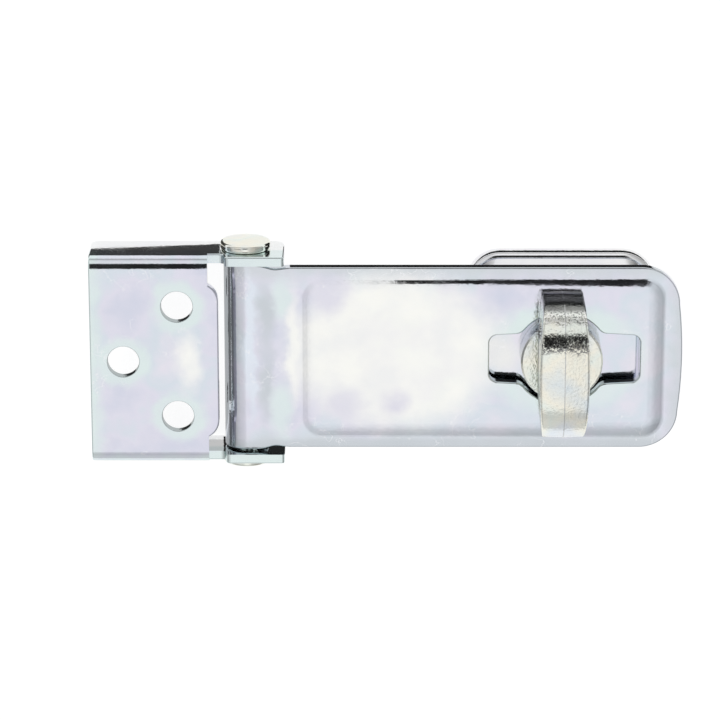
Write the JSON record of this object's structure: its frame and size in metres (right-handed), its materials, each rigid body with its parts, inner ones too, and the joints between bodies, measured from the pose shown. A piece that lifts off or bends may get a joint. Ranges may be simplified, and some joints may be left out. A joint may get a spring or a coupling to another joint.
{
  "type": "locking hasp",
  "caption": "Zinc-plated locking hasp: a hinged pressed leaf with a raised panel and a cross slot, held shut by a turning staple whose eye takes a padlock.",
  "frame": {"origin": "middle of the hasp's footprint, on the mounting plane", "axes": "+X from the hinge plate to the leaf's free end, +Y along the hinge pin towards its head, +Z out of the mounting plane"},
  "size_m": [0.1228, 0.0488, 0.0261],
  "materials": {
    "plate_sheet": "bright zinc plating with a pale blue passivation",
    "leaf_sheet": "bright zinc plating with a pale blue passivation",
    "dish_sheet": "bright zinc plating with a pale blue passivation",
    "pin_steel": "bright zinc plating",
    "staple_casting": "bright zinc plating over a lightly pitted casting"
  },
  "bodies": {
    "plate": {"hinge_plate": "plate_sheet", "hinge_pin": "pin_steel"},
    "leaf": {"hasp_leaf": "leaf_sheet", "staple_dish": "dish_sheet"},
    "staple": {"turning_staple": "staple_casting", "staple_washer": "pin_steel"}
  },
  "joints": [
    {"name": "leaf_swing", "type": "hinge", "parent": "plate", "child": "leaf", "pos_m": [-0.0292, 0, 0.0055], "axis": [0, -1, 0], "range_deg": [0, 96]},
    {"name": "staple_turn", "type": "hinge", "parent": "leaf", "child": "staple", "pos_m": [0.0363, 0, 0.0129], "axis": [0, 0, 1], "continuous": true}
  ]
}
